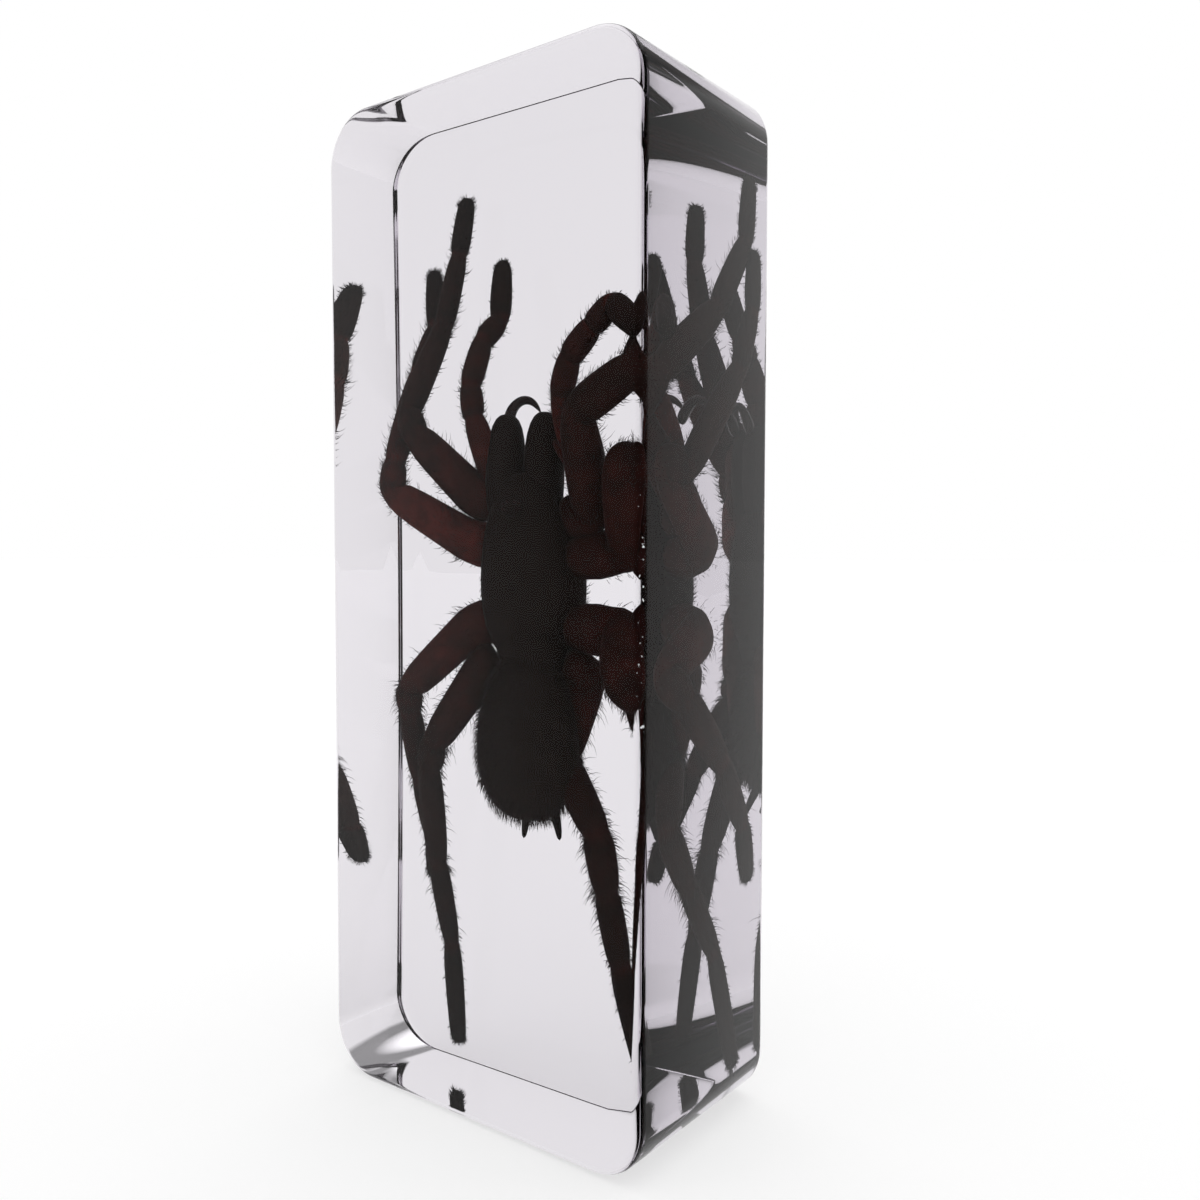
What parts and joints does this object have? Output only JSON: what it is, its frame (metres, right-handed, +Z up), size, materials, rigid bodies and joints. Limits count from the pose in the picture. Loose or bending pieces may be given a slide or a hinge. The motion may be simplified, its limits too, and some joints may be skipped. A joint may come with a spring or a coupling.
{
  "type": "tarantula in a clear resin block",
  "caption": "Upright clear resin paperweight with rounded corners and a whole dried tarantula sealed inside, head up and legs drawn in.",
  "frame": {"origin": "centre of the block's base, on the surface it stands on", "axes": "+Z up along the block's height, +Y from the broad face that shows the spider's back to the rear face, +X along the width"},
  "size_m": [0.044, 0.024, 0.11],
  "materials": {
    "clear_resin": "polished clear casting resin",
    "tarantula_hide": "dark brown-black hide with short hair"
  },
  "bodies": {
    "root": {"resin_front_half": "clear_resin", "resin_back_half": "clear_resin", "tarantula": "tarantula_hide"}
  },
  "joints": []
}
